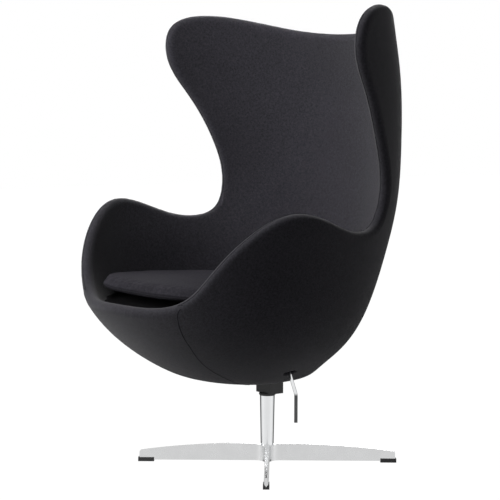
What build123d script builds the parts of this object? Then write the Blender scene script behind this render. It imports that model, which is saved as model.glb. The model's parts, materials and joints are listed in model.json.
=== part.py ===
from build123d import *
import math
import os

import numpy as np

# Pod chair: a padded egg-shaped shell on a tilting and swivelling column with a four-leg star.
# Millimetres. Z is up, the origin is on the floor on the swivel axis, and the sitter looks along -Y.

# ---------------------------------------------------------------- upholstered shell
# Guide surface of the shell: height, back, half width, place of the widest point, front.
STATIONS = [
    (234, 80, 122, -85, -178),
    (242, 98, 150, -100, -216),
    (266, 120, 190, -118, -272),
    (325, 166, 267, -124, -360),
    (420, 212, 326, -135, -442),
    (540, 257, 354, -144, -477),
    (660, 277, 377, -125, -461),
    (800, 290, 368, -106, -420),
    (950, 272, 382, -107, -383),
    (1110, 218, 404, -124, -355),
]
# Crest of the rim in the side view, from in front of the lip, over the arm and the ear, to the back.
RIM_CREST = [
    (-536, 446),
    (-470, 428),
    (-408, 421),
    (-367, 483),
    (-302, 581),
    (-217, 634),
    (-106, 616),
    (-9, 588),
    (60, 604),
    (89, 676),
    (68, 781),
    (9, 900),
    (-41, 1000),
    (-26, 1072),
    (76, 1101),
    (200, 1068),
    (362, 1036),
]
SECTION_POINTS = 16
SECTIONS_PER_STATION = 2
SHELL_THICKNESS = 30
OUTER_OFFSET = 18
OUTER_PADDING = 16
CORE_THICKNESS = 8
RIM_ROUNDING = 14.5
RIM_SEAM_INSET = 24
LAYER_GAP = 0.3
PRISM_HALF_WIDTH = 600
PRISM_FLOOR = 150

# ---------------------------------------------------------------- seat deck and loose cushion
DECK_HEIGHT = 412
DECK_BREAK = -270
DECK_FRONT = (-450, 362)
DECK_FRONT_SLOPE = 0.45
DECK_BACK = 320
CUSHION_HALF_WIDTH = 299
CUSHION_CENTRE = -137
CUSHION_FRONT = -387
CUSHION_REAR = 163
CUSHION_FRONT_POWER = 2.6
CUSHION_REAR_POWER = 2.2
CUSHION_POINTS = 16
CUSHION_THICKNESS = 46
CUSHION_SEAM_HEIGHTS = (17, 30)
CUSHION_SEAM_DEPTH = 2
CUSHION_CROWN_RADIUS = 3500
CUSHION_COVER = 2

# ---------------------------------------------------------------- star base and column
LEG_COUNT = 4
LEG_TURN = 53
LEG_FOOT_WIDTH = 12
LEG_UNDERSIDE = 4
# Distance from the axis, height of the ridge and width of the ridge.
LEG_SECTIONS = [(8, 43, 10), (93, 45, 9), (178, 41, 7), (240, 36, 5.5), (314, 27, 3.5)]
LEG_TIP_ROUNDING = 6
HUB_RADIUS = 20
HUB_REACH = 44
HUB_FILLET = 22
HUB_HEIGHT = 43
HUB_SOCKET_FLOOR = 16
HUB_RECESS_RADIUS = 15
HUB_RECESS_TOP = 11
GLIDE_LENGTH = 39
GLIDE_WIDTH = 15
GLIDE_HEIGHT = 10
GLIDE_END_WALL = 3
GLIDE_NOTCH_WIDTH = 8
GLIDE_FIT = 0.1
COLUMN_TOP_RADIUS = 18.5
COLUMN_FOOT_RADIUS = 16.2
COLUMN_TOP = 165
COLUMN_STRAIGHT = 47
COLUMN_FLOOR = 8
STUD_RADIUS = 6
STUD_FIT = 0.2
WASHER_RADIUS = 13
WASHER_THICKNESS = 2
NUT_FLATS = 19
NUT_THICKNESS = 5
SPINDLE_RADIUS = 10
SPINDLE_FOOT = 30
RUNNING_FIT = 0.05
BUSH_LENGTH = 16
BUSH_RADIUS = 13.2
THRUST_FLANGE = 2
CLIP_WIDTH = 2
CLIP_RADIUS = 12
CLIP_GROOVE = 1

# ---------------------------------------------------------------- swivel bracket and tilt joint
COLLAR_RADIUS = 20.5
COLLAR_HEIGHT = 4
SPINDLE_SEAT = 20
BRACKET_HALF_WIDTH = 30
BRACKET_FRONT = -12
BRACKET_REAR = 26
EAR_THICKNESS = 6
EAR_RADIUS = 13
TILT_AXIS_Y = 6
TILT_AXIS_Z = 264
TILT_BACK_DEG = 12
PIVOT_RADIUS = 6
PIVOT_HALF_LENGTH = 39
PIVOT_CLIP_RADIUS = 9
SLEEVE_RADIUS = 12
LUG_THICKNESS = 6
LUG_GAP = 0.5
PLATE_THICKNESS = 6
PLATE_HALF_WIDTH = 56
PLATE_FRONT = -124
PLATE_REAR = 60
PLATE_CORNER = 12
PLATE_OPENING_REAR = 34
ARM_HALF_WIDTH = 9
ARM_THICKNESS = 4.5
ARM_RISER = 5
FRONT_ARM_END = -94
REAR_TAB_HALF_WIDTH = 14
REAR_TAB_THICKNESS = 8
REAR_TAB_END = 54
STOP_PAD_THICKNESS = 3
STOP_PAD_LENGTH = 14
BOLT_RADIUS = 4
BOLT_HEAD_RADIUS = 7
BOLT_HEAD_HEIGHT = 5
BOLT_PLACES = [(-42, -104), (42, -104), (-42, 40), (42, 40)]

# ---------------------------------------------------------------- lever
LEVER_RADIUS = 4
LEVER_AXIS_Y = -83
LEVER_AXIS_Z = 288
LEVER_INNER_END = -22
LEVER_ELBOW_X = 179.4
LEVER_KNEE_X = 223
LEVER_KNEE_Z = 205
LEVER_TIP_Z = 139
LEVER_ELBOW_BEND = 18
LEVER_KNEE_BEND = 22
LEVER_LUG_STARTS = (-20, 14, 50)
LEVER_LUG_RADIUS = 10
LEVER_BUSH_RADIUS = 6.5
CAM_THICKNESS = 10
CAM_THROW = 3.5
CAM_REST_GAP = 1.3
CAM_SCREW_RADIUS = 2
SLOT_WIDTH = 14
SLOT_LENGTH = 34
TUNNEL_ROOM = 18
POCKET_TOP = 304
POCKET_HALF_WIDTH = 62
POCKET_ROOM = 4
NECK_ROOM = 4
NECK_REAR_ROOM = 16

# ---------------------------------------------------------------- heights that follow from the values
FLOOR_LEVEL = STATIONS[0][0]
INNER_OFFSET = OUTER_OFFSET - SHELL_THICKNESS
CORE_OUTSIDE = OUTER_OFFSET - OUTER_PADDING
CORE_INSIDE = CORE_OUTSIDE - CORE_THICKNESS
CORE_FLOOR_TOP = FLOOR_LEVEL - CORE_INSIDE
SHELL_UNDERSIDE = FLOOR_LEVEL - OUTER_OFFSET
PLATE_TOP = CORE_FLOOR_TOP + PLATE_THICKNESS
COLLAR_BOTTOM = COLUMN_TOP + THRUST_FLANGE + RUNNING_FIT
BRACKET_FLOOR = COLLAR_BOTTOM + COLLAR_HEIGHT
NECK_TOP = TILT_AXIS_Z - SLEEVE_RADIUS - LUG_GAP
EAR_INNER = BRACKET_HALF_WIDTH - EAR_THICKNESS
LUG_INNER = BRACKET_HALF_WIDTH + LUG_GAP
REAR_TAB_UNDERSIDE = PLATE_TOP + LAYER_GAP + STOP_PAD_THICKNESS
CLIP_BOTTOM = SPINDLE_FOOT + CLIP_WIDTH
NUT_BOTTOM = HUB_RECESS_TOP - WASHER_THICKNESS - NUT_THICKNESS

# The front arm clears the plate by the pad and a gap when the shell is tilted right back.
TILT_SLOPE = math.tan(math.radians(TILT_BACK_DEG))
PLATE_DROP = (TILT_AXIS_Z - PLATE_TOP) / math.cos(math.radians(TILT_BACK_DEG))
TILTED_PLATE = TILT_AXIS_Z + (TILT_AXIS_Y - FRONT_ARM_END) * TILT_SLOPE - PLATE_DROP
ARM_UNDERSIDE = TILTED_PLATE + LAYER_GAP + STOP_PAD_THICKNESS
ARM_TOP = ARM_UNDERSIDE + ARM_THICKNESS
CAM_RADIUS = LEVER_AXIS_Z - ARM_TOP - CAM_REST_GAP


def spline_through(rows):
    """Natural cubic spline through the rows, as a function of the row number."""
    rows = np.array(rows, float)
    count = len(rows)
    system = np.eye(count)
    bends = np.zeros_like(rows)
    for row in range(1, count - 1):
        system[row, row - 1 : row + 2] = (1, 4, 1)
        bends[row] = 6 * (rows[row + 1] - 2 * rows[row] + rows[row - 1])
    bends = np.linalg.solve(system, bends)

    def value(place):
        low = min(max(int(place), 0), count - 2)
        t = place - low
        s = 1 - t
        straight = s * rows[low] + t * rows[low + 1]
        return straight + ((s**3 - s) * bends[low] + (t**3 - t) * bends[low + 1]) / 6

    return value


station_at = spline_through(STATIONS)


def shell_point(level, turn):
    """Point of the guide surface; turn is 0 at the back and pi at the front."""
    height, back, half_width, widest, front = station_at(level)
    reach = back - widest if math.cos(turn) >= 0 else widest - front
    return Vector(half_width * math.sin(turn), widest + reach * math.cos(turn), height)


def shell_normal(level, turn):
    """Outward unit normal of the guide surface."""
    step = 0.001
    around = shell_point(level, turn + step) - shell_point(level, turn - step)
    upward = shell_point(level + step, turn) - shell_point(level - step, turn)
    return upward.cross(around).normalized()


def egg(offset):
    """Solid bounded by the guide surface moved outward by offset, with a flat floor."""
    last = SECTIONS_PER_STATION * (len(STATIONS) - 1)
    sections = []
    for section in range(last + 1):
        level = section / SECTIONS_PER_STATION
        points = []
        for number in range(SECTION_POINTS):
            turn = 2 * math.pi * number / SECTION_POINTS
            shift = Vector(0, 0, -offset) if section == 0 else shell_normal(level, turn) * offset
            if section == last:
                shift = Vector(shift.X, shift.Y, 0)
            points.append(shell_point(level, turn) + shift)
        places = [number / SECTION_POINTS for number in range(SECTION_POINTS + 1)]
        sections.append(Wire([Edge.make_spline(points, periodic=True, parameters=places)]))
    return Solid.make_loft(sections)


def below_crest(inset):
    """Prism across the chair that holds everything lower than the crest line moved in by inset."""
    crest = Edge.make_spline([Vector(0, y, z) for y, z in RIM_CREST])
    if inset:
        count = 2 * len(RIM_CREST)
        moved = []
        for number in range(count + 1):
            tangent = crest.tangent_at(number / count)
            moved.append(crest.position_at(number / count) + Vector(0, tangent.Z, -tangent.Y) * inset)
        crest = Edge.make_spline(moved)
    start, end = crest.position_at(0), crest.position_at(1)
    front_foot = Vector(0, start.Y, PRISM_FLOOR)
    rear_foot = Vector(0, end.Y, PRISM_FLOOR)
    sides = [
        Edge.make_line(end, rear_foot),
        Edge.make_line(rear_foot, front_foot),
        Edge.make_line(front_foot, start),
    ]
    side_view = Face(Wire([crest] + sides)).moved(Location((-PRISM_HALF_WIDTH, 0, 0)))
    return Solid.extrude(side_view, Vector(2 * PRISM_HALF_WIDTH, 0, 0))


def block(x0, x1, y0, y1, z0, z1):
    """Box between two corners."""
    centre = ((x0 + x1) / 2, (y0 + y1) / 2, (z0 + z1) / 2)
    return Pos(*centre) * Box(x1 - x0, y1 - y0, z1 - z0)


def rod(radius, z0, z1, inner=0):
    """Upright round bar or tube on the swivel axis."""
    solid = Pos(0, 0, z0) * Cylinder(radius, z1 - z0, align=(Align.CENTER, Align.CENTER, Align.MIN))
    if inner:
        solid -= Pos(0, 0, z0) * Cylinder(inner, z1 - z0, align=(Align.CENTER, Align.CENTER, Align.MIN))
    return solid


def cross_rod(radius, x0, x1, y, z, inner=0):
    """Round bar or tube along X."""
    place = Pos((x0 + x1) / 2, y, z) * Rot(0, 90, 0)
    solid = place * Cylinder(radius, x1 - x0)
    if inner:
        solid -= place * Cylinder(inner, x1 - x0)
    return solid


def whole(shape):
    """The largest solid that a boolean leaves."""
    return max(shape.solids(), key=lambda piece: piece.volume)


def write(name, shape):
    """One STEP file for a node, which is one solid."""
    export_step(whole(shape), f"parts/{name}.step")


lever_elbow = Vector(LEVER_ELBOW_X, LEVER_AXIS_Y, LEVER_AXIS_Z)
lever_knee = Vector(LEVER_KNEE_X, LEVER_AXIS_Y, LEVER_KNEE_Z)
lever_slant = (lever_knee - lever_elbow).normalized()


def lever_slot():
    """Slot for the lever, along its slanted stretch."""
    frame = Plane(origin=(lever_elbow + lever_knee) / 2, x_dir=(0, 1, 0), z_dir=lever_slant)
    length = (lever_knee - lever_elbow).length
    return frame * Box(SLOT_LENGTH, SLOT_WIDTH, length)


def lever_tunnel():
    """Room for the lever shaft between the mechanism and the slot."""
    return block(
        POCKET_HALF_WIDTH,
        LEVER_ELBOW_X + SLOT_WIDTH / 2,
        LEVER_AXIS_Y - TUNNEL_ROOM,
        LEVER_AXIS_Y + TUNNEL_ROOM,
        LEVER_AXIS_Z - TUNNEL_ROOM,
        LEVER_AXIS_Z + TUNNEL_ROOM,
    )


def mechanism_pocket():
    """Room for the tilt mechanism over the floor of the core."""
    return block(
        -POCKET_HALF_WIDTH,
        POCKET_HALF_WIDTH,
        PLATE_FRONT - POCKET_ROOM,
        PLATE_REAR + POCKET_ROOM,
        CORE_FLOOR_TOP,
        POCKET_TOP,
    )


def neck_opening():
    """Hole in the floor of the shell for the neck of the swivel bracket."""
    return block(
        -BRACKET_HALF_WIDTH - NECK_ROOM,
        BRACKET_HALF_WIDTH + NECK_ROOM,
        BRACKET_FRONT - NECK_ROOM,
        BRACKET_REAR + NECK_REAR_ROOM,
        SHELL_UNDERSIDE - NECK_ROOM,
        CORE_FLOOR_TOP + NECK_ROOM,
    )


def bolt_holes(radius):
    """Clearance holes through the floor for the four plate bolts."""
    z0, z1 = SHELL_UNDERSIDE - NECK_ROOM, CORE_FLOOR_TOP + NECK_ROOM
    return Compound([Pos(x, y, 0) * rod(radius, z0, z1) for x, y in BOLT_PLACES])


def shell_layers():
    """Core, lining with the rolled rim, and outer cover of the padded shell."""
    outside = egg(OUTER_OFFSET)
    core_outside = egg(CORE_OUTSIDE)
    core_inside = egg(CORE_INSIDE)
    under_lap = below_crest(RIM_SEAM_INSET + LAYER_GAP)

    padded = whole((outside - egg(INNER_OFFSET)) & below_crest(0))
    lining = whole(padded - (below_crest(RIM_SEAM_INSET) - core_inside))
    crest_edges = sorted(lining.edges(), key=lambda edge: edge.bounding_box().max.Z)[-2:]
    lining = lining.fillet(RIM_ROUNDING, crest_edges)
    lining = whole(lining - mechanism_pocket() - lever_slot())
    core = whole((core_outside - core_inside) & under_lap)
    core = whole(core - neck_opening() - lever_slot() - bolt_holes(BOLT_RADIUS + LAYER_GAP))
    cover = whole((outside - core_outside) & under_lap)
    cover = whole(cover - neck_opening() - lever_slot() - bolt_holes(BOLT_HEAD_RADIUS + LAYER_GAP))
    return core, lining, cover


def seat_deck():
    """Foam block that fills the bottom of the bowl and carries the cushion."""
    y_front, z_front = DECK_FRONT
    deck_line = Spline(
        (0, y_front, z_front),
        (0, DECK_BREAK, DECK_HEIGHT),
        tangents=[(0, 1, DECK_FRONT_SLOPE), (0, 1, 0)],
    )
    back = Polyline(
        (0, DECK_BREAK, DECK_HEIGHT),
        (0, DECK_BACK, DECK_HEIGHT),
        (0, DECK_BACK, PRISM_FLOOR),
        (0, y_front, PRISM_FLOOR),
        (0, y_front, z_front),
    )
    side_view = Face(Wire([deck_line] + back.edges())).moved(Location((-PRISM_HALF_WIDTH, 0, 0)))
    under_deck = Solid.extrude(side_view, Vector(2 * PRISM_HALF_WIDTH, 0, 0))
    bowl = egg(INNER_OFFSET - LAYER_GAP)
    return whole((bowl & under_deck) - mechanism_pocket() - lever_tunnel() - lever_slot())


def cushion_slab(inset, z0, z1):
    """Slab between two heights with the plan outline of the cushion, drawn in by inset."""
    points = []
    for number in range(CUSHION_POINTS):
        turn = 2 * math.pi * number / CUSHION_POINTS
        ahead = math.cos(turn) > 0
        power = CUSHION_FRONT_POWER if ahead else CUSHION_REAR_POWER
        reach = (CUSHION_CENTRE - CUSHION_FRONT if ahead else CUSHION_REAR - CUSHION_CENTRE) - inset
        across = math.copysign(abs(math.sin(turn)) ** (2 / power), math.sin(turn))
        along = math.copysign(abs(math.cos(turn)) ** (2 / power), math.cos(turn))
        points.append(Vector((CUSHION_HALF_WIDTH - inset) * across, CUSHION_CENTRE - reach * along, z0))
    outline = Wire([Edge.make_spline(points, periodic=True)])
    return Solid.extrude(Face(outline), Vector(0, 0, z1 - z0))


def cushion_form(shrink):
    """Boxed cushion, crowned above and below its seams, made smaller all round by shrink."""
    base = DECK_HEIGHT + LAYER_GAP
    bottom, top = base + shrink, base + CUSHION_THICKNESS - shrink
    low_seam, high_seam = (base + height for height in CUSHION_SEAM_HEIGHTS)
    crowned = cushion_slab(shrink + CUSHION_SEAM_DEPTH, bottom, top)
    for centre in (top - CUSHION_CROWN_RADIUS, bottom + CUSHION_CROWN_RADIUS):
        crowned &= Pos(0, CUSHION_CENTRE, centre) * Rot(90, 0, 0) * Sphere(CUSHION_CROWN_RADIUS)
    return whole(crowned + cushion_slab(shrink, low_seam + shrink, high_seam - shrink))


def leg_section(distance, ridge_height, ridge_width):
    """Upright cross-section of a leg at a distance from the axis."""
    foot, ridge = LEG_FOOT_WIDTH / 2, ridge_width / 2
    corners = [(-foot, LEG_UNDERSIDE), (foot, LEG_UNDERSIDE), (ridge, ridge_height), (-ridge, ridge_height)]
    return Wire.make_polygon([Vector(x, -distance, z) for x, z in corners])


def star_base():
    """Cast star: four blade legs that flare into a round hub."""
    leg = Solid.make_loft([leg_section(*section) for section in LEG_SECTIONS])
    end_face = leg.faces().sort_by(Axis.Y)[0]
    top_edge = end_face.edges().sort_by(Axis.Z)[-1]
    leg = leg.fillet(LEG_TIP_ROUNDING, [top_edge])
    bars = Rectangle(LEG_FOOT_WIDTH, 2 * HUB_REACH) + Rectangle(2 * HUB_REACH, LEG_FOOT_WIDTH)
    plan = bars + Circle(HUB_RADIUS)
    inner_corners = [v for v in plan.vertices() if abs(Vector(v.X, v.Y, 0).length - HUB_RADIUS) < 1]
    plan = fillet(inner_corners, HUB_FILLET)
    hub = Pos(0, 0, LEG_UNDERSIDE) * extrude(plan, HUB_HEIGHT - LEG_UNDERSIDE)
    star = hub
    for number in range(LEG_COUNT):
        star += Rot(0, 0, 360 * number / LEG_COUNT) * leg
    star -= rod(COLUMN_FOOT_RADIUS, HUB_SOCKET_FLOOR, COLUMN_STRAIGHT)
    star -= rod(STUD_RADIUS + STUD_FIT, 0, HUB_SOCKET_FLOOR)
    star -= rod(HUB_RECESS_RADIUS, 0, HUB_RECESS_TOP)
    return Rot(0, 0, LEG_TURN) * whole(star)


def glide():
    """Plastic saddle under the tip of a leg, with a notched end wall."""
    tip = LEG_SECTIONS[-1][0]
    outer_end = tip + GLIDE_END_WALL
    inner_end = outer_end - GLIDE_LENGTH
    half = LEG_FOOT_WIDTH / 2 + GLIDE_FIT
    saddle = block(-GLIDE_WIDTH / 2, GLIDE_WIDTH / 2, -outer_end, -inner_end, 0, GLIDE_HEIGHT)
    saddle -= block(-half, half, -tip - GLIDE_FIT, -inner_end, LEG_UNDERSIDE, GLIDE_HEIGHT)
    notch = Polyline(
        (-GLIDE_NOTCH_WIDTH / 2, -outer_end, GLIDE_HEIGHT),
        (0, -outer_end, LEG_UNDERSIDE),
        (GLIDE_NOTCH_WIDTH / 2, -outer_end, GLIDE_HEIGHT),
        close=True,
    )
    saddle -= Solid.extrude(Face(Wire(notch.edges())), Vector(0, GLIDE_END_WALL, 0))
    return saddle


def column():
    """Tapered tube with a closed foot and a stud for the nut."""
    foot_inside = HUB_SOCKET_FLOOR + COLUMN_FLOOR
    profile = Polyline(
        (0, NUT_BOTTOM),
        (STUD_RADIUS, NUT_BOTTOM),
        (STUD_RADIUS, HUB_SOCKET_FLOOR),
        (COLUMN_FOOT_RADIUS, HUB_SOCKET_FLOOR),
        (COLUMN_FOOT_RADIUS, COLUMN_STRAIGHT),
        (COLUMN_TOP_RADIUS, COLUMN_TOP),
        (BUSH_RADIUS, COLUMN_TOP),
        (BUSH_RADIUS, foot_inside),
        (0, foot_inside),
        close=True,
    )
    return revolve(Plane.XZ * make_face(profile), Axis.Z)


def bush(z0, flange):
    """Plain bush in the column, with a thrust flange on the upper one."""
    bore = SPINDLE_RADIUS + RUNNING_FIT
    solid = rod(BUSH_RADIUS, z0, z0 + BUSH_LENGTH, bore)
    if flange:
        solid += rod(COLUMN_TOP_RADIUS, z0 + BUSH_LENGTH, z0 + BUSH_LENGTH + flange, bore)
    return solid


def spindle():
    """Swivel shaft, with a groove for its clip."""
    shaft = rod(SPINDLE_RADIUS, SPINDLE_FOOT, COLLAR_BOTTOM + SPINDLE_SEAT)
    groove = rod(CLIP_RADIUS, CLIP_BOTTOM, CLIP_BOTTOM + CLIP_WIDTH, SPINDLE_RADIUS - CLIP_GROOVE)
    return shaft - groove


def swivel_bracket():
    """Collar on the spindle, boxed neck, two ears for the tilt pivot and the two stop arms."""
    half = BRACKET_HALF_WIDTH
    solid = rod(COLLAR_RADIUS, COLLAR_BOTTOM, BRACKET_FLOOR)
    solid += block(-half, half, BRACKET_FRONT, BRACKET_REAR, BRACKET_FLOOR, NECK_TOP)
    for x0, x1 in ((-half, -EAR_INNER), (EAR_INNER, half)):
        solid += block(x0, x1, BRACKET_FRONT, TILT_AXIS_Y + EAR_RADIUS, NECK_TOP, TILT_AXIS_Z)
        solid += cross_rod(EAR_RADIUS, x0, x1, TILT_AXIS_Y, TILT_AXIS_Z)
    riser_rear = BRACKET_FRONT + ARM_RISER
    solid += block(-ARM_HALF_WIDTH, ARM_HALF_WIDTH, BRACKET_FRONT, riser_rear, NECK_TOP, ARM_TOP)
    solid += block(-ARM_HALF_WIDTH, ARM_HALF_WIDTH, FRONT_ARM_END, riser_rear, ARM_UNDERSIDE, ARM_TOP)
    tab_root = BRACKET_REAR - EAR_THICKNESS
    tab_top = REAR_TAB_UNDERSIDE + REAR_TAB_THICKNESS
    width = REAR_TAB_HALF_WIDTH
    solid += block(-width, width, tab_root, REAR_TAB_END, REAR_TAB_UNDERSIDE, tab_top)
    solid -= rod(SPINDLE_RADIUS, COLLAR_BOTTOM, COLLAR_BOTTOM + SPINDLE_SEAT)
    return solid - cross_rod(PIVOT_RADIUS, -half, half, TILT_AXIS_Y, TILT_AXIS_Z)


def front_stop_pad():
    """Rubber pad under the end of the front arm."""
    y1 = FRONT_ARM_END + STOP_PAD_LENGTH
    z0 = ARM_UNDERSIDE - STOP_PAD_THICKNESS
    return block(-ARM_HALF_WIDTH, ARM_HALF_WIDTH, FRONT_ARM_END, y1, z0, ARM_UNDERSIDE)


def rear_stop_pad():
    """Rubber pad under the rear tab, over the rear edge of the plate."""
    y0 = REAR_TAB_END - STOP_PAD_LENGTH
    z0 = REAR_TAB_UNDERSIDE - STOP_PAD_THICKNESS
    return block(-REAR_TAB_HALF_WIDTH, REAR_TAB_HALF_WIDTH, y0, REAR_TAB_END, z0, REAR_TAB_UNDERSIDE)


def tilt_plate():
    """Steel plate on the core floor, with lugs for the tilt pivot and for the lever."""
    outline = RectangleRounded(2 * PLATE_HALF_WIDTH, PLATE_REAR - PLATE_FRONT, PLATE_CORNER)
    plate = Pos(0, (PLATE_REAR + PLATE_FRONT) / 2, CORE_FLOOR_TOP) * extrude(outline, PLATE_THICKNESS)
    pivot_lugs = ((-LUG_INNER - LUG_THICKNESS, -LUG_INNER), (LUG_INNER, LUG_INNER + LUG_THICKNESS))
    for x0, x1 in pivot_lugs:
        y0, y1 = TILT_AXIS_Y - EAR_RADIUS, TILT_AXIS_Y + EAR_RADIUS
        plate += block(x0, x1, y0, y1, CORE_FLOOR_TOP, TILT_AXIS_Z)
        plate += cross_rod(EAR_RADIUS, x0, x1, TILT_AXIS_Y, TILT_AXIS_Z)
        plate -= cross_rod(PIVOT_RADIUS + RUNNING_FIT, x0, x1, TILT_AXIS_Y, TILT_AXIS_Z)
    for x0 in LEVER_LUG_STARTS:
        x1 = x0 + LUG_THICKNESS
        y0, y1 = LEVER_AXIS_Y - LEVER_LUG_RADIUS, LEVER_AXIS_Y + LEVER_LUG_RADIUS
        plate += block(x0, x1, y0, y1, CORE_FLOOR_TOP, LEVER_AXIS_Z)
        plate += cross_rod(LEVER_LUG_RADIUS, x0, x1, LEVER_AXIS_Y, LEVER_AXIS_Z)
        plate -= cross_rod(LEVER_BUSH_RADIUS, x0, x1, LEVER_AXIS_Y, LEVER_AXIS_Z)
    y0 = BRACKET_FRONT - NECK_ROOM
    plate -= block(-LUG_INNER, LUG_INNER, y0, PLATE_OPENING_REAR, CORE_FLOOR_TOP, PLATE_TOP)
    for x, y in BOLT_PLACES:
        plate -= Pos(x, y, 0) * rod(BOLT_RADIUS, CORE_FLOOR_TOP, PLATE_TOP)
    return plate


def plate_bolt(x, y):
    """Bolt through the core into the plate, with its head below the core."""
    core_bottom = CORE_FLOOR_TOP - CORE_THICKNESS
    shank = rod(BOLT_RADIUS, core_bottom, PLATE_TOP)
    head = rod(BOLT_HEAD_RADIUS, core_bottom - BOLT_HEAD_HEIGHT, core_bottom)
    return Pos(x, y, 0) * (shank + head)


def lever_rod():
    """Bent rod: shaft along X, slanted stretch through the shell, upright handle."""
    start = Vector(LEVER_INNER_END, LEVER_AXIS_Y, LEVER_AXIS_Z)
    tip = Vector(LEVER_KNEE_X, LEVER_AXIS_Y, LEVER_TIP_Z)
    shaft_end = lever_elbow - Vector(1, 0, 0) * bend_tangent(Vector(1, 0, 0), lever_slant, LEVER_ELBOW_BEND)
    slant_start = lever_elbow + lever_slant * bend_tangent(Vector(1, 0, 0), lever_slant, LEVER_ELBOW_BEND)
    slant_end = lever_knee - lever_slant * bend_tangent(lever_slant, Vector(0, 0, -1), LEVER_KNEE_BEND)
    handle_top = lever_knee - Vector(0, 0, 1) * bend_tangent(lever_slant, Vector(0, 0, -1), LEVER_KNEE_BEND)
    route = Wire([
        Edge.make_line(start, shaft_end),
        Edge.make_tangent_arc(shaft_end, Vector(1, 0, 0), slant_start),
        Edge.make_line(slant_start, slant_end),
        Edge.make_tangent_arc(slant_end, lever_slant, handle_top),
        Edge.make_line(handle_top, tip),
    ])
    section = Plane(origin=start, z_dir=(1, 0, 0)) * Circle(LEVER_RADIUS)
    return sweep(section, path=route)


def bend_tangent(before, after, radius):
    """Length of the tangent of a bend between two unit directions."""
    turn = math.acos(before.dot(after))
    return radius * math.tan(turn / 2)


def lock_cam():
    """Eccentric on the lever shaft, which comes down on the front arm when the lever is swung."""
    x0, x1 = -CAM_THICKNESS / 2, CAM_THICKNESS / 2
    solid = cross_rod(CAM_RADIUS, x0, x1, LEVER_AXIS_Y - CAM_THROW, LEVER_AXIS_Z)
    solid -= cross_rod(LEVER_RADIUS, x0, x1, LEVER_AXIS_Y, LEVER_AXIS_Z)
    screw_hole = rod(CAM_SCREW_RADIUS, LEVER_AXIS_Z, LEVER_AXIS_Z + 2 * CAM_RADIUS)
    return solid - Pos(0, LEVER_AXIS_Y, 0) * screw_hole


def lever_bush(x0):
    """Plain bush in a lug of the plate."""
    bore = LEVER_RADIUS + RUNNING_FIT
    return cross_rod(LEVER_BUSH_RADIUS, x0, x0 + LUG_THICKNESS, LEVER_AXIS_Y, LEVER_AXIS_Z, bore)


def build():
    """Write every node."""
    os.makedirs("parts", exist_ok=True)

    write("star_base", star_base())
    for number in range(LEG_COUNT):
        turn = LEG_TURN + 360 * number / LEG_COUNT
        write(f"glide_{number + 1}", Rot(0, 0, turn) * glide())
    write("column_tube", column())
    write("base_washer", rod(WASHER_RADIUS, HUB_RECESS_TOP - WASHER_THICKNESS, HUB_RECESS_TOP, STUD_RADIUS))
    nut = RegularPolygon(NUT_FLATS / 2, 6, major_radius=False) - Circle(STUD_RADIUS)
    write("base_nut", Pos(0, 0, NUT_BOTTOM) * extrude(nut, NUT_THICKNESS))
    write("lower_bush", bush(CLIP_BOTTOM + CLIP_WIDTH + RUNNING_FIT, 0))
    write("upper_bush", bush(COLUMN_TOP - BUSH_LENGTH, THRUST_FLANGE))

    write("spindle", spindle())
    clip_bore = SPINDLE_RADIUS - CLIP_GROOVE
    write("spindle_clip", rod(CLIP_RADIUS, CLIP_BOTTOM, CLIP_BOTTOM + CLIP_WIDTH, clip_bore))
    write("swivel_bracket", swivel_bracket())
    pin = cross_rod(PIVOT_RADIUS, -PIVOT_HALF_LENGTH, PIVOT_HALF_LENGTH, TILT_AXIS_Y, TILT_AXIS_Z)
    write("tilt_pivot_pin", pin)
    lug_outer = LUG_INNER + LUG_THICKNESS + RUNNING_FIT
    for side, x0 in (("left", lug_outer), ("right", -lug_outer - CLIP_WIDTH)):
        clip = cross_rod(PIVOT_CLIP_RADIUS, x0, x0 + CLIP_WIDTH, TILT_AXIS_Y, TILT_AXIS_Z, PIVOT_RADIUS)
        write(f"pivot_clip_{side}", clip)
    sleeve = cross_rod(SLEEVE_RADIUS, -EAR_INNER, EAR_INNER, TILT_AXIS_Y, TILT_AXIS_Z, PIVOT_RADIUS)
    write("torsion_sleeve", sleeve)
    write("front_stop_pad", front_stop_pad())
    write("rear_stop_pad", rear_stop_pad())

    core, lining, cover = shell_layers()
    write("shell_core", core)
    write("inner_upholstery", lining)
    write("outer_upholstery", cover)
    write("seat_deck", seat_deck())
    write("tilt_plate", tilt_plate())
    for number, (x, y) in enumerate(BOLT_PLACES):
        write(f"plate_bolt_{number + 1}", plate_bolt(x, y))
    for number, x0 in enumerate(LEVER_LUG_STARTS):
        write(f"lever_bush_{number + 1}", lever_bush(x0))

    write("lever_rod", lever_rod())
    write("lock_cam", lock_cam())
    screw_top = LEVER_AXIS_Z + CAM_RADIUS - CAM_THROW / 2
    screw = rod(CAM_SCREW_RADIUS, LEVER_AXIS_Z + LEVER_RADIUS, screw_top)
    write("cam_screw", Pos(0, LEVER_AXIS_Y, 0) * screw)

    write("cushion_cover", whole(cushion_form(0) - cushion_form(CUSHION_COVER)))
    write("cushion_foam", cushion_form(CUSHION_COVER + LAYER_GAP))


build()
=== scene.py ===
import json
import math

import bmesh
import bpy
import numpy as np
from mathutils import Matrix, Vector
from mathutils.bvhtree import BVHTree


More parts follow.
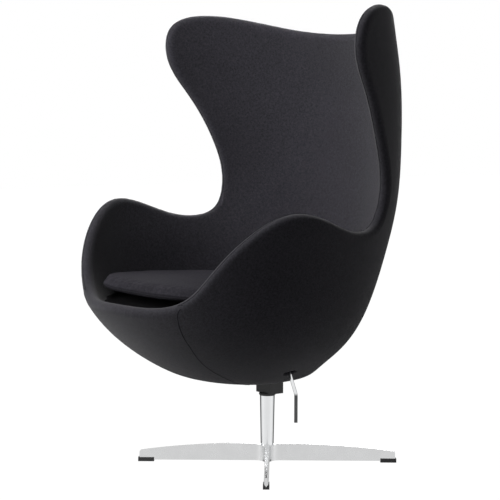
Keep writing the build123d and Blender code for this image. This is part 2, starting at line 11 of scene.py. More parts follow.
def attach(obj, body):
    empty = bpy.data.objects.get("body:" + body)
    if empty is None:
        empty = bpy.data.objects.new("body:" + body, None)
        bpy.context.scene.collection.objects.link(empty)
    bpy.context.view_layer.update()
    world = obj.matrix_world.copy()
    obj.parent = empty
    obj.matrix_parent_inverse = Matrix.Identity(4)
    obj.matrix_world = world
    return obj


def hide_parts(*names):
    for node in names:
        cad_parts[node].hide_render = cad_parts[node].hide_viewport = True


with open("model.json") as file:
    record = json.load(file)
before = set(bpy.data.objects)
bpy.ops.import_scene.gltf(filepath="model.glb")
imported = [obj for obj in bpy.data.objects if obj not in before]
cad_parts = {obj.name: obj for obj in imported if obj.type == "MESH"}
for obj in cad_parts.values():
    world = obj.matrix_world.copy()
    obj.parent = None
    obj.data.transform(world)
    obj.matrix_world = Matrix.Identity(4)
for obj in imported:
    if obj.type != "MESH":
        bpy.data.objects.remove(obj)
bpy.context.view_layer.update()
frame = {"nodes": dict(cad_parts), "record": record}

# ---------------------------------------------------------------- camera, fitted to the photograph
CAMERA_PLACE = Vector((3.4363, -2.5554, 0.8856))
CAMERA_AZIMUTH = math.radians(53.36)
CAMERA_YAW = math.radians(-0.585)
CAMERA_PITCH = math.radians(-4.86)
CAMERA_ROLL = math.radians(0.153)
CAMERA_LENS_MM = 127.1
CAMERA_SENSOR_MM = 36
CAMERA_REACH = 50

# ---------------------------------------------------------------- floor, sky and lights
FLOOR_HALF = 12
FLOOR_HEIGHT = -0.0005
FLOOR_SHADE = 0.3
FLOOR_GLOW = 1.05
FLOOR_GLOW_SHARE = 0.97
# Brightness of the soft sky, from straight down to straight up.
SKY_SHADES = [(0.0, 0.22), (0.5, 0.30), (1.0, 0.7)]
SKY_STRENGTH = 0.24
# Brightness of what polished metal mirrors, from behind the chair round to the camera.
STUDIO_SHADES = [(0.0, 0.8), (0.05, 0.5), (0.13, 0.03), (0.25, 0.08), (0.36, 0.7), (0.6, 1.0), (1.0, 0.85)]
# Name, place, target, size, power in watts and beam in degrees.
LIGHTS = [
    ("key", (-1.2, -3.6, 2.1), (0, 0, 0.6), 1.8, 100, 180),
    ("top", (-0.9, -1.4, 3.3), (0, 0, 0.6), 1.6, 64, 180),
    ("wing", (1.7, -3.2, 2.3), (-0.34, 0.0, 0.98), 0.5, 1.0, 18),
    ("rear", (-2.6, 3.0, 1.7), (0, 0, 0.6), 1.8, 70, 180),
]

# ---------------------------------------------------------------- wool
# Patterns are counted per metre, and depths are in metres.
WOOL_FIBRES = 480
WOOL_GRAIN = 190
WOOL_PATCHES = 5
WOOL_WEAVE = 620
WOOL_WEAVE_RANDOMNESS = 0.55
WOOL_FIBRE_SHARE = 0.55
WOOL_GRAIN_SHARE = 0.45
WOOL_TONE_STOPS = (0.36, 0.64)
WOOL_PATCH_STOPS = (0.35, 0.65)
WOOL_PATCH_SHADE = 0.88
WOOL_ROUGHNESS = (0.82, 1.0)
WOOL_SHEEN_ROUGHNESS = 0.55
WOOL_SPECULAR = 0.12
WOOL_BUMP_STRENGTH = 0.5
WOOL_FIBRE_DEPTH = 0.0006
WOOL_GRAIN_DEPTH = 0.0007
WOOL_WEAVE_DEPTH = 0.0008

# ---------------------------------------------------------------- metal, paint and plastic
# Most values of a noise lie between these two.
NOISE_LOW = 0.3
NOISE_HIGH = 0.7
METAL_DULLED = 0.93
METAL_POLISH_SPREAD = (0.8, 1.3)
METAL_BUMP_STRENGTH = 0.3
COAT_SCUFFS = 40
COAT_SCUFFED = 0.8
COAT_ROUGHNESS_SPREAD = (0.85, 1.2)
COAT_BUMP_STRENGTH = 0.4
# Painted dark reflection on the lower part of the lever rod: below this height, faded in over this span,
# to this shade.
LEVER_PAINTED_REFLECTION_BELOW = 0.205
LEVER_PAINTED_REFLECTION_FADE = 0.006
LEVER_PAINTED_REFLECTION_SHADE = 0.1
THREAD_SHADE = (0.012, 0.0115, 0.0145)
# Looks by slot: grain is counted per metre, and depth is in metres.
METALS = {
    "polished_aluminium": dict(shade=(0.76, 0.765, 0.77), roughness=0.24, grain=30, depth=0.00005),
    "chrome": dict(shade=(0.88, 0.89, 0.90), roughness=0.05, grain=12, depth=0.00002),
    "plain_steel": dict(shade=(0.55, 0.56, 0.57), roughness=0.32, grain=300, depth=0.00002),
}
COATINGS = {
    "glide_plastic": dict(shade=(0.045, 0.045, 0.047), roughness=0.55, grain=1500, depth=0.0002),
    "bush_plastic": dict(shade=(0.10, 0.10, 0.10), roughness=0.4, grain=1200, depth=0.0002),
    "black_paint": dict(shade=(0.022, 0.022, 0.024), roughness=0.38, grain=900, depth=0.0002),
    "rubber": dict(shade=(0.03, 0.03, 0.03), roughness=0.85, grain=700, depth=0.0002),
    "moulded_core": dict(shade=(0.45, 0.42, 0.33), roughness=0.6, grain=250, depth=0.0006),
}

# ---------------------------------------------------------------- upholstery
SHELL_VOXEL = 0.0045
SHELL_STEADY_ROUNDS = 14
# Each round draws the points in and then, by a little more, out again, so that the form doesn't shrink.
STEADY_DRAW_IN = 0.5
STEADY_DRAW_OUT = -0.53
DECK_VOXEL = 0.006
DECK_SMOOTH_STEPS = 12
SMOOTH_FACTOR = 0.5
WELD = 1e-5

# ---------------------------------------------------------------- sewn cords
# Crest of the rim in side view, from in front of the lip, over arm, ear and crown, to behind them: y, z.
RIM_CREST = [
    (-0.536, 0.446),
    (-0.470, 0.428),
    (-0.408, 0.421),
    (-0.367, 0.483),
    (-0.302, 0.581),
    (-0.217, 0.634),
    (-0.106, 0.616),
    (-0.009, 0.588),
    (0.060, 0.604),
    (0.089, 0.676),
    (0.068, 0.781),
    (0.009, 0.900),
    (-0.041, 1.000),
    (-0.026, 1.072),
    (0.076, 1.101),
    (0.200, 1.068),
    (0.362, 1.036),
]
# Seam of the front panel, from the corner of the lip to the underside: x, y, z.
PANEL_SEAM = [
    (0.212, -0.398, 0.424),
    (0.196, -0.395, 0.404),
    (0.179, -0.370, 0.359),
    (0.168, -0.340, 0.326),
    (0.149, -0.295, 0.285),
    (0.137, -0.236, 0.253),
    (0.118, -0.160, 0.232),
    (0.085, -0.090, 0.218),
]
PANEL_SEAM_STEPS = 60
# The rim's seam runs between these places along the crest, counted in its points.
RIM_SEAM_START = 2.2
RIM_SEAM_END = 15.2
RIM_SEAM_STEPS = 150
RIM_SLOPE_STEP = 0.01
# Two rays below the crest find the rim's sides: one from outside and one from inside the shell.
RIM_PROBE_FROM = 0.7
RIM_PROBE_DEPTH = 0.016
RIM_PROBE_SPAN = 0.06
CORD_RADIUS = 0.001
CORD_SINK = 0.0004
CORD_SIDES = 8
# Where a cord rises more steeply than this, its rings are set out from the x axis instead of the z axis.
CORD_STEEP = 0.9

# ---------------------------------------------------------------- cushion
CUSHION_VOXEL = 0.005
CUSHION_SMOOTH_STEPS = 6
CUSHION_SHRINK = 0.002
CUSHION_PRESSURE = 4.0
CUSHION_STRETCH = 25
CUSHION_BENDING = 2
CUSHION_FRAMES = 20
CUSHION_LONGEST_MOVE = 0.006
TINY = 1e-9
CUSHION_CENTRE = -0.137
CUSHION_TOP = 0.458
CUSHION_CROWN_RADIUS = 3.5
CUSHION_FLATTER_RADIUS = 20.0
CUSHION_TOP_RAKE = 0.028
CUSHION_RAKE_FROM = -0.2
CUSHION_EDGE_RISE = 0.004
CUSHION_THINNED = 0.3
CUSHION_THINNED_FROM = -0.2
CUSHION_THINNED_OVER = 0.15
CUSHION_WIDENED = 0.06
CUSHION_WIDENED_FROM = -0.08
CUSHION_WIDENED_OVER = 0.2
CUSHION_LEAN = 0.0015
CUSHION_SEAMS = (0.4385, 0.4435)
CUSHION_SEAM_POINTS = 240
SEAM_GROOVE_WIDTH = 0.0022
SEAM_GROOVE_DEPTH = 0.001
SEAM_SIDE_GAIN = 3


def spline_through(rows):
    """Natural cubic spline through the rows, as a function of the row number."""
    rows = np.array(rows, float)
    count = len(rows)
    system = np.eye(count)
    bends = np.zeros_like(rows)
    for row in range(1, count - 1):
        system[row, row - 1 : row + 2] = (1, 4, 1)
        bends[row] = 6 * (rows[row + 1] - 2 * rows[row] + rows[row - 1])
    bends = np.linalg.solve(system, bends)

    def value(place):
        low = min(max(int(place), 0), count - 2)
        t = place - low
        s = 1 - t
        straight = s * rows[low] + t * rows[low + 1]
        return straight + ((s**3 - s) * bends[low] + (t**3 - t) * bends[low + 1]) / 6

    return value


# ---------------------------------------------------------------- shader nodes
def new_material(name):
    """Empty node material with its tree and its shader."""
    material = bpy.data.materials.new(name)
    material.use_nodes = True
    tree = material.node_tree
    return material, tree, tree.nodes["Principled BSDF"]


def node(tree, kind, **values):
    """Adds a shader node; keys that name a socket set that socket."""
    made = tree.nodes.new(kind)
    for key, value in values.items():
        if key in made.inputs:
            made.inputs[key].default_value = value
        else:
            setattr(made, key, value)
    return made


def object_place(tree):
    """Place in the object's own coordinates, in metres."""
    return node(tree, "ShaderNodeTexCoord").outputs["Object"]


def split_off(tree, place, axis):
    """One coordinate of a place."""
    split = node(tree, "ShaderNodeSeparateXYZ")
    tree.links.new(place, split.inputs["Vector"])
    return split.outputs[axis]


def noise(tree, scale, detail, roughness):
    """Noise of a scale per metre."""
    made = node(tree, "ShaderNodeTexNoise", Scale=scale, Detail=detail, Roughness=roughness)
    tree.links.new(object_place(tree), made.inputs["Vector"])
    return made.outputs["Fac"]


def rescaled(tree, source, low, high):
    """The source, from 0 at the low value to 1 at the high one."""
    made = node(tree, "ShaderNodeMapRange")
    made.inputs["From Min"].default_value = low
    made.inputs["From Max"].default_value = high
    tree.links.new(source, made.inputs["Value"])
    return made.outputs["Result"]


def scaled(tree, source, factor):
    """The source times a factor."""
    made = node(tree, "ShaderNodeMath", operation="MULTIPLY")
    made.inputs[1].default_value = factor
    tree.links.new(source, made.inputs[0])
    return made.outputs[0]


def added(tree, first, second):
    """Sum of two sources."""
    made = node(tree, "ShaderNodeMath", operation="ADD")
    tree.links.new(first, made.inputs[0])
    tree.links.new(second, made.inputs[1])
    return made.outputs[0]


def ramp(tree, source, stops):
    """Colour by the source: (place from 0 to 1, shade or colour)."""
    made = node(tree, "ShaderNodeValToRGB")
    elements = made.color_ramp.elements
    while len(elements) < len(stops):
        elements.new(0.5)
    for element, (place, shade) in zip(elements, stops):
        element.position = place
        element.color = (*shade, 1) if isinstance(shade, tuple) else (shade, shade, shade, 1)
    tree.links.new(source, made.inputs["Fac"])
    return made.outputs["Color"]


def over_noise(tree, source, low, high):
    """Value or colour that goes from the low one to the high one with a noise."""
    return ramp(tree, source, [(NOISE_LOW, low), (NOISE_HIGH, high)])


def multiplied(tree, first, second):
    """Product of two colours, which go into sockets 6 and 7 of the node and come out of output 2."""
    made = node(tree, "ShaderNodeMix", data_type="RGBA", blend_type="MULTIPLY")
    made.inputs[0].default_value = 1.0
    tree.links.new(first, made.inputs[6])
    tree.links.new(second, made.inputs[7])
    return made.outputs[2]


def mixed_shader(tree, share, first, second):
    """The first shader where the share is 0 and the second where it is 1."""
    made = node(tree, "ShaderNodeMixShader")
    tree.links.new(share, made.inputs["Fac"])
    tree.links.new(first, made.inputs[1])
    tree.links.new(second, made.inputs[2])
    return made.outputs["Shader"]


def bump(tree, shader, heights, strength):
    """Chain of bumps: (height output, depth in metres)."""
    previous = None
    for height, depth in heights:
        made = node(tree, "ShaderNodeBump", Strength=strength, Distance=depth)
        tree.links.new(height, made.inputs["Height"])
        if previous:
            tree.links.new(previous.outputs["Normal"], made.inputs["Normal"])
        previous = made
    tree.links.new(previous.outputs["Normal"], shader.inputs["Normal"])


# ---------------------------------------------------------------- materials
def wool(name, dark, light, sheen):
    """Felted wool: fine fibres and grain over a dense weave, with slow changes of tone."""
    material, tree, shader = new_material(name)
    fibres = noise(tree, WOOL_FIBRES, detail=4, roughness=0.75)
    grain = noise(tree, WOOL_GRAIN, detail=5, roughness=0.7)
    patches = noise(tree, WOOL_PATCHES, detail=2, roughness=0.5)
    weave = node(tree, "ShaderNodeTexVoronoi", Scale=WOOL_WEAVE, Randomness=WOOL_WEAVE_RANDOMNESS)
    tree.links.new(object_place(tree), weave.inputs["Vector"])
    flecks = added(tree, scaled(tree, fibres, WOOL_FIBRE_SHARE), scaled(tree, grain, WOOL_GRAIN_SHARE))
    tone = ramp(tree, flecks, list(zip(WOOL_TONE_STOPS, (dark, light))))
    slow = ramp(tree, patches, list(zip(WOOL_PATCH_STOPS, (WOOL_PATCH_SHADE, 1.0))))
    tree.links.new(multiplied(tree, tone, slow), shader.inputs["Base Color"])
    tree.links.new(over_noise(tree, fibres, *WOOL_ROUGHNESS), shader.inputs["Roughness"])
    shader.inputs["Sheen Weight"].default_value = sheen
    shader.inputs["Sheen Roughness"].default_value = WOOL_SHEEN_ROUGHNESS
    shader.inputs["Specular IOR Level"].default_value = WOOL_SPECULAR
    heights = [
        (grain, WOOL_GRAIN_DEPTH),
        (weave.outputs["Distance"], WOOL_WEAVE_DEPTH),
        (fibres, WOOL_FIBRE_DEPTH),
    ]
    bump(tree, shader, heights, WOOL_BUMP_STRENGTH)
    return material


def metal(name, shade, roughness, grain, depth):
    """Metal with a slightly uneven polish."""
    material, tree, shader = new_material(name)
    shader.inputs["Metallic"].default_value = 1.0
    cloud = noise(tree, grain, detail=5, roughness=0.6)
    dulled = tuple(METAL_DULLED * part for part in shade)
    tree.links.new(over_noise(tree, cloud, dulled, shade), shader.inputs["Base Color"])
    smooth, rough = (spread * roughness for spread in METAL_POLISH_SPREAD)
    tree.links.new(over_noise(tree, cloud, smooth, rough), shader.inputs["Roughness"])
    bump(tree, shader, [(cloud, depth)], METAL_BUMP_STRENGTH)
    return material


def coated(name, shade, roughness, grain, depth, specular=0.4):
    """Paint, plastic or rubber with a fine moulded or sprayed texture and scuffs."""
    material, tree, shader = new_material(name)
    fine = noise(tree, grain, detail=4, roughness=0.6)
    scuffs = noise(tree, COAT_SCUFFS, detail=6, roughness=0.75)
    scuffed = tuple(COAT_SCUFFED * part for part in shade)
    tree.links.new(over_noise(tree, scuffs, scuffed, shade), shader.inputs["Base Color"])
    smooth, rough = (min(1.0, spread * roughness) for spread in COAT_ROUGHNESS_SPREAD)
    tree.links.new(over_noise(tree, scuffs, smooth, rough), shader.inputs["Roughness"])
    shader.inputs["Specular IOR Level"].default_value = specular
    bump(tree, shader, [(fine, depth)], COAT_BUMP_STRENGTH)
    return material


def paint_dark_reflection_below(material, height, shade):
    """Paints a dark reflection: multiplies the colour by a shade below a height in object coordinates."""
    tree = material.node_tree
    socket = tree.nodes["Principled BSDF"].inputs["Base Color"]
    low, high = height - LEVER_PAINTED_REFLECTION_FADE / 2, height + LEVER_PAINTED_REFLECTION_FADE / 2
    above = rescaled(tree, split_off(tree, object_place(tree), "Z"), low, high)
    shades = ramp(tree, above, [(0.0, shade), (1.0, 1.0)])
    tree.links.new(multiplied(tree, socket.links[0].from_socket, shades), socket)


shell_wool = wool("shell_wool", dark=(0.007, 0.0065, 0.0092), light=(0.041, 0.0387, 0.0496), sheen=0.19)
cushion_wool = wool("cushion_wool", dark=(0.007, 0.0065, 0.0088), light=(0.041, 0.0387, 0.048), sheen=0)
# Deck wool, far darker than the same wool elsewhere: painted shade for the dark hollow under the cushion.
deck_wool_painted_shade = wool("deck_wool_painted_shade", dark=(0.002, 0.0019, 0.0024), light=(0.006, 0.0057, 0.0067), sheen=0)
thread = coated("seam_thread", THREAD_SHADE, roughness=0.9, grain=2500, depth=0.0001, specular=0.1)
slot_materials = {slot: metal(slot, **look) for slot, look in METALS.items()}
slot_materials.update({slot: coated(slot, **look) for slot, look in COATINGS.items()})
# The lever rod's chrome, with a dark reflection painted into its colour below the knee.
lever_chrome_painted_reflection = metal("lever_chrome_painted_reflection", **METALS["chrome"])
paint_dark_reflection_below(lever_chrome_painted_reflection, LEVER_PAINTED_REFLECTION_BELOW, LEVER_PAINTED_REFLECTION_SHADE)


def dress_cad_nodes():
    """Every CAD node that stays takes the material of its slot, and the lever rod its own, with a painted
    dark reflection.
    """
    for part in frame["record"]["subparts"]:
        material = slot_materials.get(part["material_slot"])
        shape = frame["nodes"][part["node"]]
        if material:
            shape.data.materials.clear()
            shape.data.materials.append(lever_chrome_painted_reflection if part["node"] == "lever_rod" else material)


# ---------------------------------------------------------------- meshes
def add_mesh(name, mesh, material, body):
    """Links a mesh as a piece that rides on a body."""
    piece = bpy.data.objects.new(name, mesh)
    bpy.context.scene.collection.objects.link(piece)
    mesh.materials.clear()
    mesh.materials.append(material)
    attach(piece, body)
    return piece


def node_mesh(name, nodes, outside_only=False):
    """One mesh from CAD nodes, welded; outside_only keeps the largest closed surface."""
    made = bmesh.new()
    for part in nodes:
        shape = frame["nodes"][part]
        copy = shape.data.copy()
        copy.transform(shape.matrix_world)
        made.from_mesh(copy)
        bpy.data.meshes.remove(copy)
    bmesh.ops.remove_doubles(made, verts=made.verts, dist=WELD)
    if outside_only:
        keep_largest(made)
    mesh = bpy.data.meshes.new(name)
    made.to_mesh(mesh)
    made.free()
    return mesh


def keep_largest(made):
    """Deletes all but the surface with the largest box."""
    left = set(made.verts)
    groups = []
    while left:
        stack = [left.pop()]
        group = list(stack)
        while stack:
            for edge in stack.pop().link_edges:
                for vertex in edge.verts:
                    if vertex in left:
                        left.discard(vertex)
                        stack.append(vertex)
                        group.append(vertex)
        groups.append(group)

    def spread(group):
        places = np.array([vertex.co[:] for vertex in group])
        return float(np.prod(places.max(0) - places.min(0)))

    groups.sort(key=spread)
    inside = [vertex for group in groups[:-1] for vertex in group]
    bmesh.ops.delete(made, geom=inside, context="VERTS")


def apply_modifiers(piece):
    """Replaces the mesh by what its modifiers make of it."""
    bpy.context.view_layer.update()
    depsgraph = bpy.context.evaluated_depsgraph_get()
    made = bpy.data.meshes.new_from_object(piece.evaluated_get(depsgraph))
    old = piece.data
    piece.modifiers.clear()
    piece.data = made
    bpy.data.meshes.remove(old)


def shade_smooth(mesh):
    """Rounds the shading over all faces."""
    mesh.polygons.foreach_set("use_smooth", [True] * len(mesh.polygons))


def remesh(piece, voxel, smooth_steps=0):
    """Even quads over the piece, smoothed in the given number of steps."""
    grid = piece.modifiers.new("grid", "REMESH")
    grid.mode = "VOXEL"
    grid.voxel_size = voxel
    if smooth_steps:
        even = piece.modifiers.new("even", "SMOOTH")
        even.factor = SMOOTH_FACTOR
        even.iterations = smooth_steps
    apply_modifiers(piece)
    shade_smooth(piece.data)


def vertex_places(mesh):
    """Vertex places as an array."""
    flat = np.empty(3 * len(mesh.vertices))
    mesh.vertices.foreach_get("co", flat)
    return flat.reshape(-1, 3)


def vertex_normals(mesh):
    """Vertex normals as an array."""
    flat = np.empty(3 * len(mesh.vertices))
    mesh.vertex_normals.foreach_get("vector", flat)
    return flat.reshape(-1, 3)


def set_places(mesh, places):
    """Writes vertex places back."""
    mesh.vertices.foreach_set("co", places.ravel())
    mesh.update()


def surface_of(mesh):
    """Tree of a mesh's faces, for rays and nearest points."""
    made = bmesh.new()
    made.from_mesh(mesh)
    tree = BVHTree.FromBMesh(made)
    made.free()
    return tree


# ---------------------------------------------------------------- shell and deck
def steady(mesh, rounds):
    """Takes out the steps of the voxel grid without shrinking the form."""
    count = len(mesh.vertices)
    ends = np.empty(2 * len(mesh.edges), int)
    mesh.edges.foreach_get("vertices", ends)
    first, second = ends[::2], ends[1::2]
    links = np.bincount(ends, minlength=count)
    places = vertex_places(mesh)
    for pull in (STEADY_DRAW_IN, STEADY_DRAW_OUT) * rounds:
        for axis in range(3):
            line = places[:, axis]
            total = np.bincount(first, line[second], count) + np.bincount(second, line[first], count)
            places[:, axis] = line + pull * (total / links - line)
    set_places(mesh, places)


def make_shell():
    """Upholstery in one sweep: lining, rolled rim, front panel and outer cover."""
    mesh = node_mesh("shell_wool", ["inner_upholstery", "outer_upholstery", "shell_core"])
    piece = add_mesh("shell_wool", mesh, shell_wool, "seat_shell")
    remesh(piece, SHELL_VOXEL)
    steady(piece.data, SHELL_STEADY_ROUNDS)
    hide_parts("inner_upholstery", "outer_upholstery")
    return piece


def make_deck():
    """Padded deck under the cushion, in wool darkened to paint the shade under it."""
    mesh = node_mesh("seat_deck_wool", ["seat_deck"])
    piece = add_mesh("seat_deck_wool", mesh, deck_wool_painted_shade, "seat_shell")
    remesh(piece, DECK_VOXEL, DECK_SMOOTH_STEPS)
    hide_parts("seat_deck")


# ---------------------------------------------------------------- sewn cords
def rim_seam(surface):
    """Line along the middle of the rolled rim, on the sitter's left."""
    crest = spline_through(RIM_CREST)
    points = []
    for number in range(RIM_SEAM_STEPS + 1):
        place = RIM_SEAM_START + (RIM_SEAM_END - RIM_SEAM_START) * number / RIM_SEAM_STEPS
        here = crest(place)
        along = crest(place + RIM_SLOPE_STEP) - crest(place - RIM_SLOPE_STEP)
        along /= np.linalg.norm(along)
        inward = np.array([along[1], -along[0]])
        below = here + inward * RIM_PROBE_DEPTH
        outer = surface.ray_cast(Vector((RIM_PROBE_FROM, *below)), Vector((-1, 0, 0)))[0]
        inner = surface.ray_cast(Vector((outer.x - RIM_PROBE_SPAN, *below)), Vector((1, 0, 0)))[0]
        middle = (outer.x + inner.x) / 2
        above = Vector((middle, *(here - inward * RIM_PROBE_DEPTH)))
        points.append(surface.find_nearest(above)[0])
    return points


def fine_line(points, steps):
    """Evenly numbered points on the spline through the given ones."""
    line = spline_through(points)
    last = len(points) - 1
    return [Vector(line(last * number / steps)) for number in range(steps + 1)]


def lay_on(surface, points):
    """Nearest points of the surface, sunk a little into it."""
    laid = []
    for point in points:
        place, normal = surface.find_nearest(point)[:2]
        laid.append(place - normal * CORD_SINK)
    return laid


def make_cord(name, points, body, closed=False):
    """Thin sewn cord along the points."""
    count = len(points)
    places, faces = [], []
    for number, point in enumerate(points):
        before = points[number - 1] if number or closed else point
        after = points[(number + 1) % count] if number + 1 < count or closed else point
        along = (after - before).normalized()
        level = Vector((0, 0, 1)) if abs(along.z) < CORD_STEEP else Vector((1, 0, 0))
        side = along.cross(level).normalized()
        up = side.cross(along)
        for corner in range(CORD_SIDES):
            turn = 2 * math.pi * corner / CORD_SIDES
            places.append(point + (side * math.cos(turn) + up * math.sin(turn)) * CORD_RADIUS)
    for number in range(count if closed else count - 1):
        ring, following = number * CORD_SIDES, (number + 1) % count * CORD_SIDES
        for corner in range(CORD_SIDES):
            beside = (corner + 1) % CORD_SIDES
            faces.append((ring + corner, ring + beside, following + beside, following + corner))
    if not closed:
        faces.append(tuple(range(CORD_SIDES)))
        faces.append(tuple(len(places) - 1 - corner for corner in range(CORD_SIDES)))
    mesh = bpy.data.meshes.new(name)
    mesh.from_pydata(places, [], faces)
    shade_smooth(mesh)
    mesh.validate()
    add_mesh(name, mesh, thread, body)


def make_shell_seams(surface):
    """Cords along the rim and down both sides of the front panel."""
    rim = rim_seam(surface)
    panel = fine_line(PANEL_SEAM, PANEL_SEAM_STEPS)
    for side, sign in (("left", 1), ("right", -1)):
        for name, points in (("rim", rim), ("panel", panel)):
            sided = [Vector((sign * point.x, point.y, point.z)) for point in points]
            make_cord(f"{name}_seam_{side}", lay_on(surface, sided), "seat_shell")


def make_cushion_seams(surface):
    """Cords all the way round the cushion, along its two seams."""
    for name, height in zip(("low", "high"), CUSHION_SEAMS):
        points = []
        for number in range(CUSHION_SEAM_POINTS):
            turn = 2 * math.pi * number / CUSHION_SEAM_POINTS
            inward = Vector((-math.sin(turn), -math.cos(turn), 0))
            outside = Vector((0, CUSHION_CENTRE, height)) - inward
            points.append(surface.ray_cast(outside, inward)[0])
        make_cord(f"cushion_seam_{name}", lay_on(surface, points), "cushion", closed=True)


# ---------------------------------------------------------------- cushion
def make_cushion(lining):
    """Loose cushion: blown up by cloth, then flattened, thinned in front and fitted to the lining."""
    mesh = node_mesh("cushion_wool", ["cushion_cover"], outside_only=True)
    piece = add_mesh("cushion_wool", mesh, cushion_wool, "cushion")
    remesh(piece, CUSHION_VOXEL, CUSHION_SMOOTH_STEPS)
    places = vertex_places(piece.data)
    places -= CUSHION_SHRINK * vertex_normals(piece.data)
    set_places(piece.data, places)
    blow_up(piece)
    finer = piece.modifiers.new("finer", "SUBSURF")
    finer.levels = finer.render_levels = 1
    apply_modifiers(piece)
    flatten_crown(piece.data)
    thin_front(piece.data)
    fill_out(piece.data, lining)
    press_seams(piece.data)
    shade_smooth(piece.data)
    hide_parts("cushion_cover", "cushion_foam")
    return piece


def blow_up(piece):
    """Cloth under pressure, with the way each point may move kept short."""
    before = vertex_places(piece.data)
    cloth = piece.modifiers.new("cloth", "CLOTH")
    cloth.settings.use_pressure = True
    cloth.settings.uniform_pressure_force = CUSHION_PRESSURE
    cloth.settings.effector_weights.gravity = 0
    cloth.settings.tension_stiffness = CUSHION_STRETCH
    cloth.settings.compression_stiffness = CUSHION_STRETCH
    cloth.settings.bending_stiffness = CUSHION_BENDING
    cloth.collision_settings.use_collision = False
    scene = bpy.context.scene
    for step in range(1, CUSHION_FRAMES + 1):
        scene.frame_set(step)
    apply_modifiers(piece)
    scene.frame_set(1)
    moved = vertex_places(piece.data) - before
    length = np.linalg.norm(moved, axis=1, keepdims=True)
    moved *= np.minimum(1, CUSHION_LONGEST_MOVE / np.maximum(length, TINY))
    set_places(piece.data, before + moved)


def towards_front(places, start, over):
    """Share that grows from 0 at the start to 1 further to the front, evenly at both ends."""
    ahead = np.clip((start - places[:, 1]) / over, 0, 1)
    return ahead * ahead * (3 - 2 * ahead)


def flatten_crown(mesh):
    """Lifts the top towards its edge and lets it fall a little to the rear."""
    places = vertex_places(mesh)
    spread = (places[:, 0] ** 2 + (places[:, 1] - CUSHION_CENTRE) ** 2) / 2
    lift = spread * (1 / CUSHION_CROWN_RADIUS - 1 / CUSHION_FLATTER_RADIUS)
    lift += CUSHION_TOP_RAKE * (CUSHION_RAKE_FROM - places[:, 1])
    share = np.clip((places[:, 2] - CUSHION_SEAMS[1]) / CUSHION_EDGE_RISE, 0, 1)
    places[:, 2] += lift * share
    set_places(mesh, places)


def thin_front(mesh):
    """Draws the underside up towards the front edge, where the cushion lies free."""
    places = vertex_places(mesh)
    share = CUSHION_THINNED * towards_front(places, CUSHION_THINNED_FROM, CUSHION_THINNED_OVER)
    places[:, 2] += np.maximum(CUSHION_TOP - places[:, 2], 0) * share
    set_places(mesh, places)


def fill_out(mesh, lining):
    """Widens the front half until it leans on the lining."""
    places = vertex_places(mesh)
    share = towards_front(places, CUSHION_WIDENED_FROM, CUSHION_WIDENED_OVER)
    places[:, 0] *= 1 + CUSHION_WIDENED * share
    for number in np.flatnonzero(share > 0):
        point = Vector(places[number])
        nearest, normal = lining.find_nearest(point)[:2]
        if (point - nearest).dot(normal) < CUSHION_LEAN:
            places[number] = nearest + normal * CUSHION_LEAN
    set_places(mesh, places)


def press_seams(mesh):
    """Draws the sides in along the two seams."""
    places = vertex_places(mesh)
    normals = vertex_normals(mesh)
    sides = np.clip(SEAM_SIDE_GAIN * (1 - np.abs(normals[:, 2])), 0, 1)
    for height in CUSHION_SEAMS:
        near = np.exp(-(((places[:, 2] - height) / SEAM_GROOVE_WIDTH) ** 2))
        places -= normals * (SEAM_GROOVE_DEPTH * near * sides)[:, None]
    set_places(mesh, places)


# ---------------------------------------------------------------- stage
def turned(first, second, angle):
    """Two unit vectors at right angles, turned from the first towards the second."""
    sine, cosine = math.sin(angle), math.cos(angle)
    return first * cosine + second * sine, second * cosine - first * sine


def make_camera():
    """Camera at the photograph's viewing place."""
    data = bpy.data.cameras.new("camera")
    data.lens = CAMERA_LENS_MM
    data.sensor_width = CAMERA_SENSOR_MM
    data.clip_end = CAMERA_REACH
    camera = bpy.data.objects.new("camera", data)
    bpy.context.scene.collection.objects.link(camera)
    ahead = Vector((-math.sin(CAMERA_AZIMUTH), math.cos(CAMERA_AZIMUTH), 0))
    right = Vector((math.cos(CAMERA_AZIMUTH), math.sin(CAMERA_AZIMUTH), 0))
    up = Vector((0, 0, 1))
    ahead, right = turned(ahead, right, CAMERA_YAW)
    ahead, up = turned(ahead, up, CAMERA_PITCH)
    right, up = turned(right, up, CAMERA_ROLL)
    columns = (right, up, -ahead, CAMERA_PLACE)
    rows = [[column[row] for column in columns] for row in range(3)]
    camera.matrix_world = Matrix([*rows, [0, 0, 0, 1]])
    bpy.context.scene.camera = camera


def make_floor():
    """Plain pale floor, seen as white; mirror rays pass it and see the studio."""
    mesh = bpy.data.meshes.new("floor")
    turns = ((-1, -1), (1, -1), (1, 1), (-1, 1))
    corners = [(FLOOR_HALF * x, FLOOR_HALF * y, FLOOR_HEIGHT) for x, y in turns]
    mesh.from_pydata(corners, [], [(0, 1, 2, 3)])
    floor = bpy.data.objects.new("floor", mesh)
    bpy.context.scene.collection.objects.link(floor)
    material, tree, shader = new_material("floor")
    shader.inputs["Base Color"].default_value = (FLOOR_SHADE, FLOOR_SHADE, FLOOR_SHADE, 1)
    shader.inputs["Roughness"].default_value = 1.0
    glow = node(tree, "ShaderNodeEmission", Color=(1, 1, 1, 1), Strength=FLOOR_GLOW)
    clear = node(tree, "ShaderNodeBsdfTransparent")
    path = node(tree, "ShaderNodeLightPath")
    seen = scaled(tree, path.outputs["Is Camera Ray"], FLOOR_GLOW_SHARE)
    plain = mixed_shader(tree, seen, shader.outputs["BSDF"], glow.outputs["Emission"])
    whole = mixed_shader(tree, path.outputs["Is Glossy Ray"], plain, clear.outputs["BSDF"])
    tree.links.new(whole, tree.nodes["Material Output"].inputs["Surface"])
    mesh.materials.append(material)


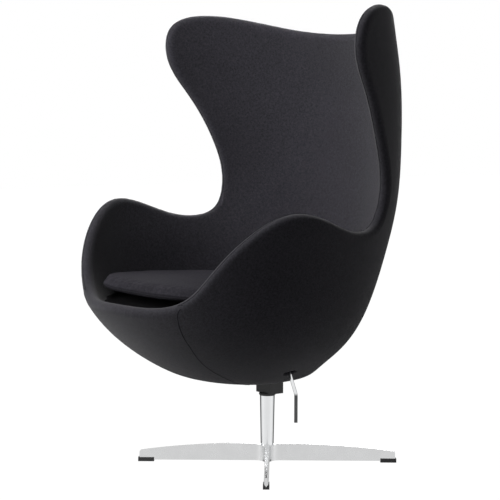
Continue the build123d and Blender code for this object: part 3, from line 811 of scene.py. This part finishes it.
def background(tree, strength, colour):
    """Background that shines in the colour of an output."""
    made = node(tree, "ShaderNodeBackground", Strength=strength)
    tree.links.new(colour, made.inputs["Color"])
    return made.outputs["Background"]


def make_world():
    """White to the camera, a studio to mirror rays and a soft sky to everything else."""
    world = bpy.data.worlds.new("studio")
    bpy.context.scene.world = world
    world.use_nodes = True
    tree = world.node_tree
    tree.nodes.clear()
    path = node(tree, "ShaderNodeLightPath")
    place = node(tree, "ShaderNodeTexCoord").outputs["Generated"]
    sky = ramp(tree, rescaled(tree, split_off(tree, place, "Z"), -1, 1), SKY_SHADES)
    facing = node(tree, "ShaderNodeVectorMath", operation="DOT_PRODUCT")
    facing.inputs[1].default_value = (math.sin(CAMERA_AZIMUTH), -math.cos(CAMERA_AZIMUTH), 0)
    tree.links.new(place, facing.inputs[0])
    studio = ramp(tree, rescaled(tree, facing.outputs["Value"], -1, 1), STUDIO_SHADES)
    soft = background(tree, SKY_STRENGTH, sky)
    mirrored = background(tree, 1.0, studio)
    white = node(tree, "ShaderNodeBackground", Color=(1, 1, 1, 1), Strength=1.0)
    lit = mixed_shader(tree, path.outputs["Is Glossy Ray"], soft, mirrored)
    whole = mixed_shader(tree, path.outputs["Is Camera Ray"], lit, white.outputs["Background"])
    tree.links.new(whole, node(tree, "ShaderNodeOutputWorld").inputs["Surface"])


def add_light(name, place, target, size, power, beam):
    """Square area light aimed at a point."""
    data = bpy.data.lights.new(name, "AREA")
    data.shape = "SQUARE"
    data.size = size
    data.energy = power
    data.spread = math.radians(beam)
    light = bpy.data.objects.new(name, data)
    bpy.context.scene.collection.objects.link(light)
    light.location = place
    light.rotation_euler = (Vector(target) - Vector(place)).to_track_quat("-Z", "Y").to_euler()


dress_cad_nodes()
shell = make_shell()
shell_surface = surface_of(shell.data)
make_shell_seams(shell_surface)
make_deck()
cushion = make_cushion(shell_surface)
make_cushion_seams(surface_of(cushion.data))
make_camera()
make_floor()
make_world()
for light_values in LIGHTS:
    add_light(*light_values)
bpy.context.scene.view_settings.view_transform = "Standard"
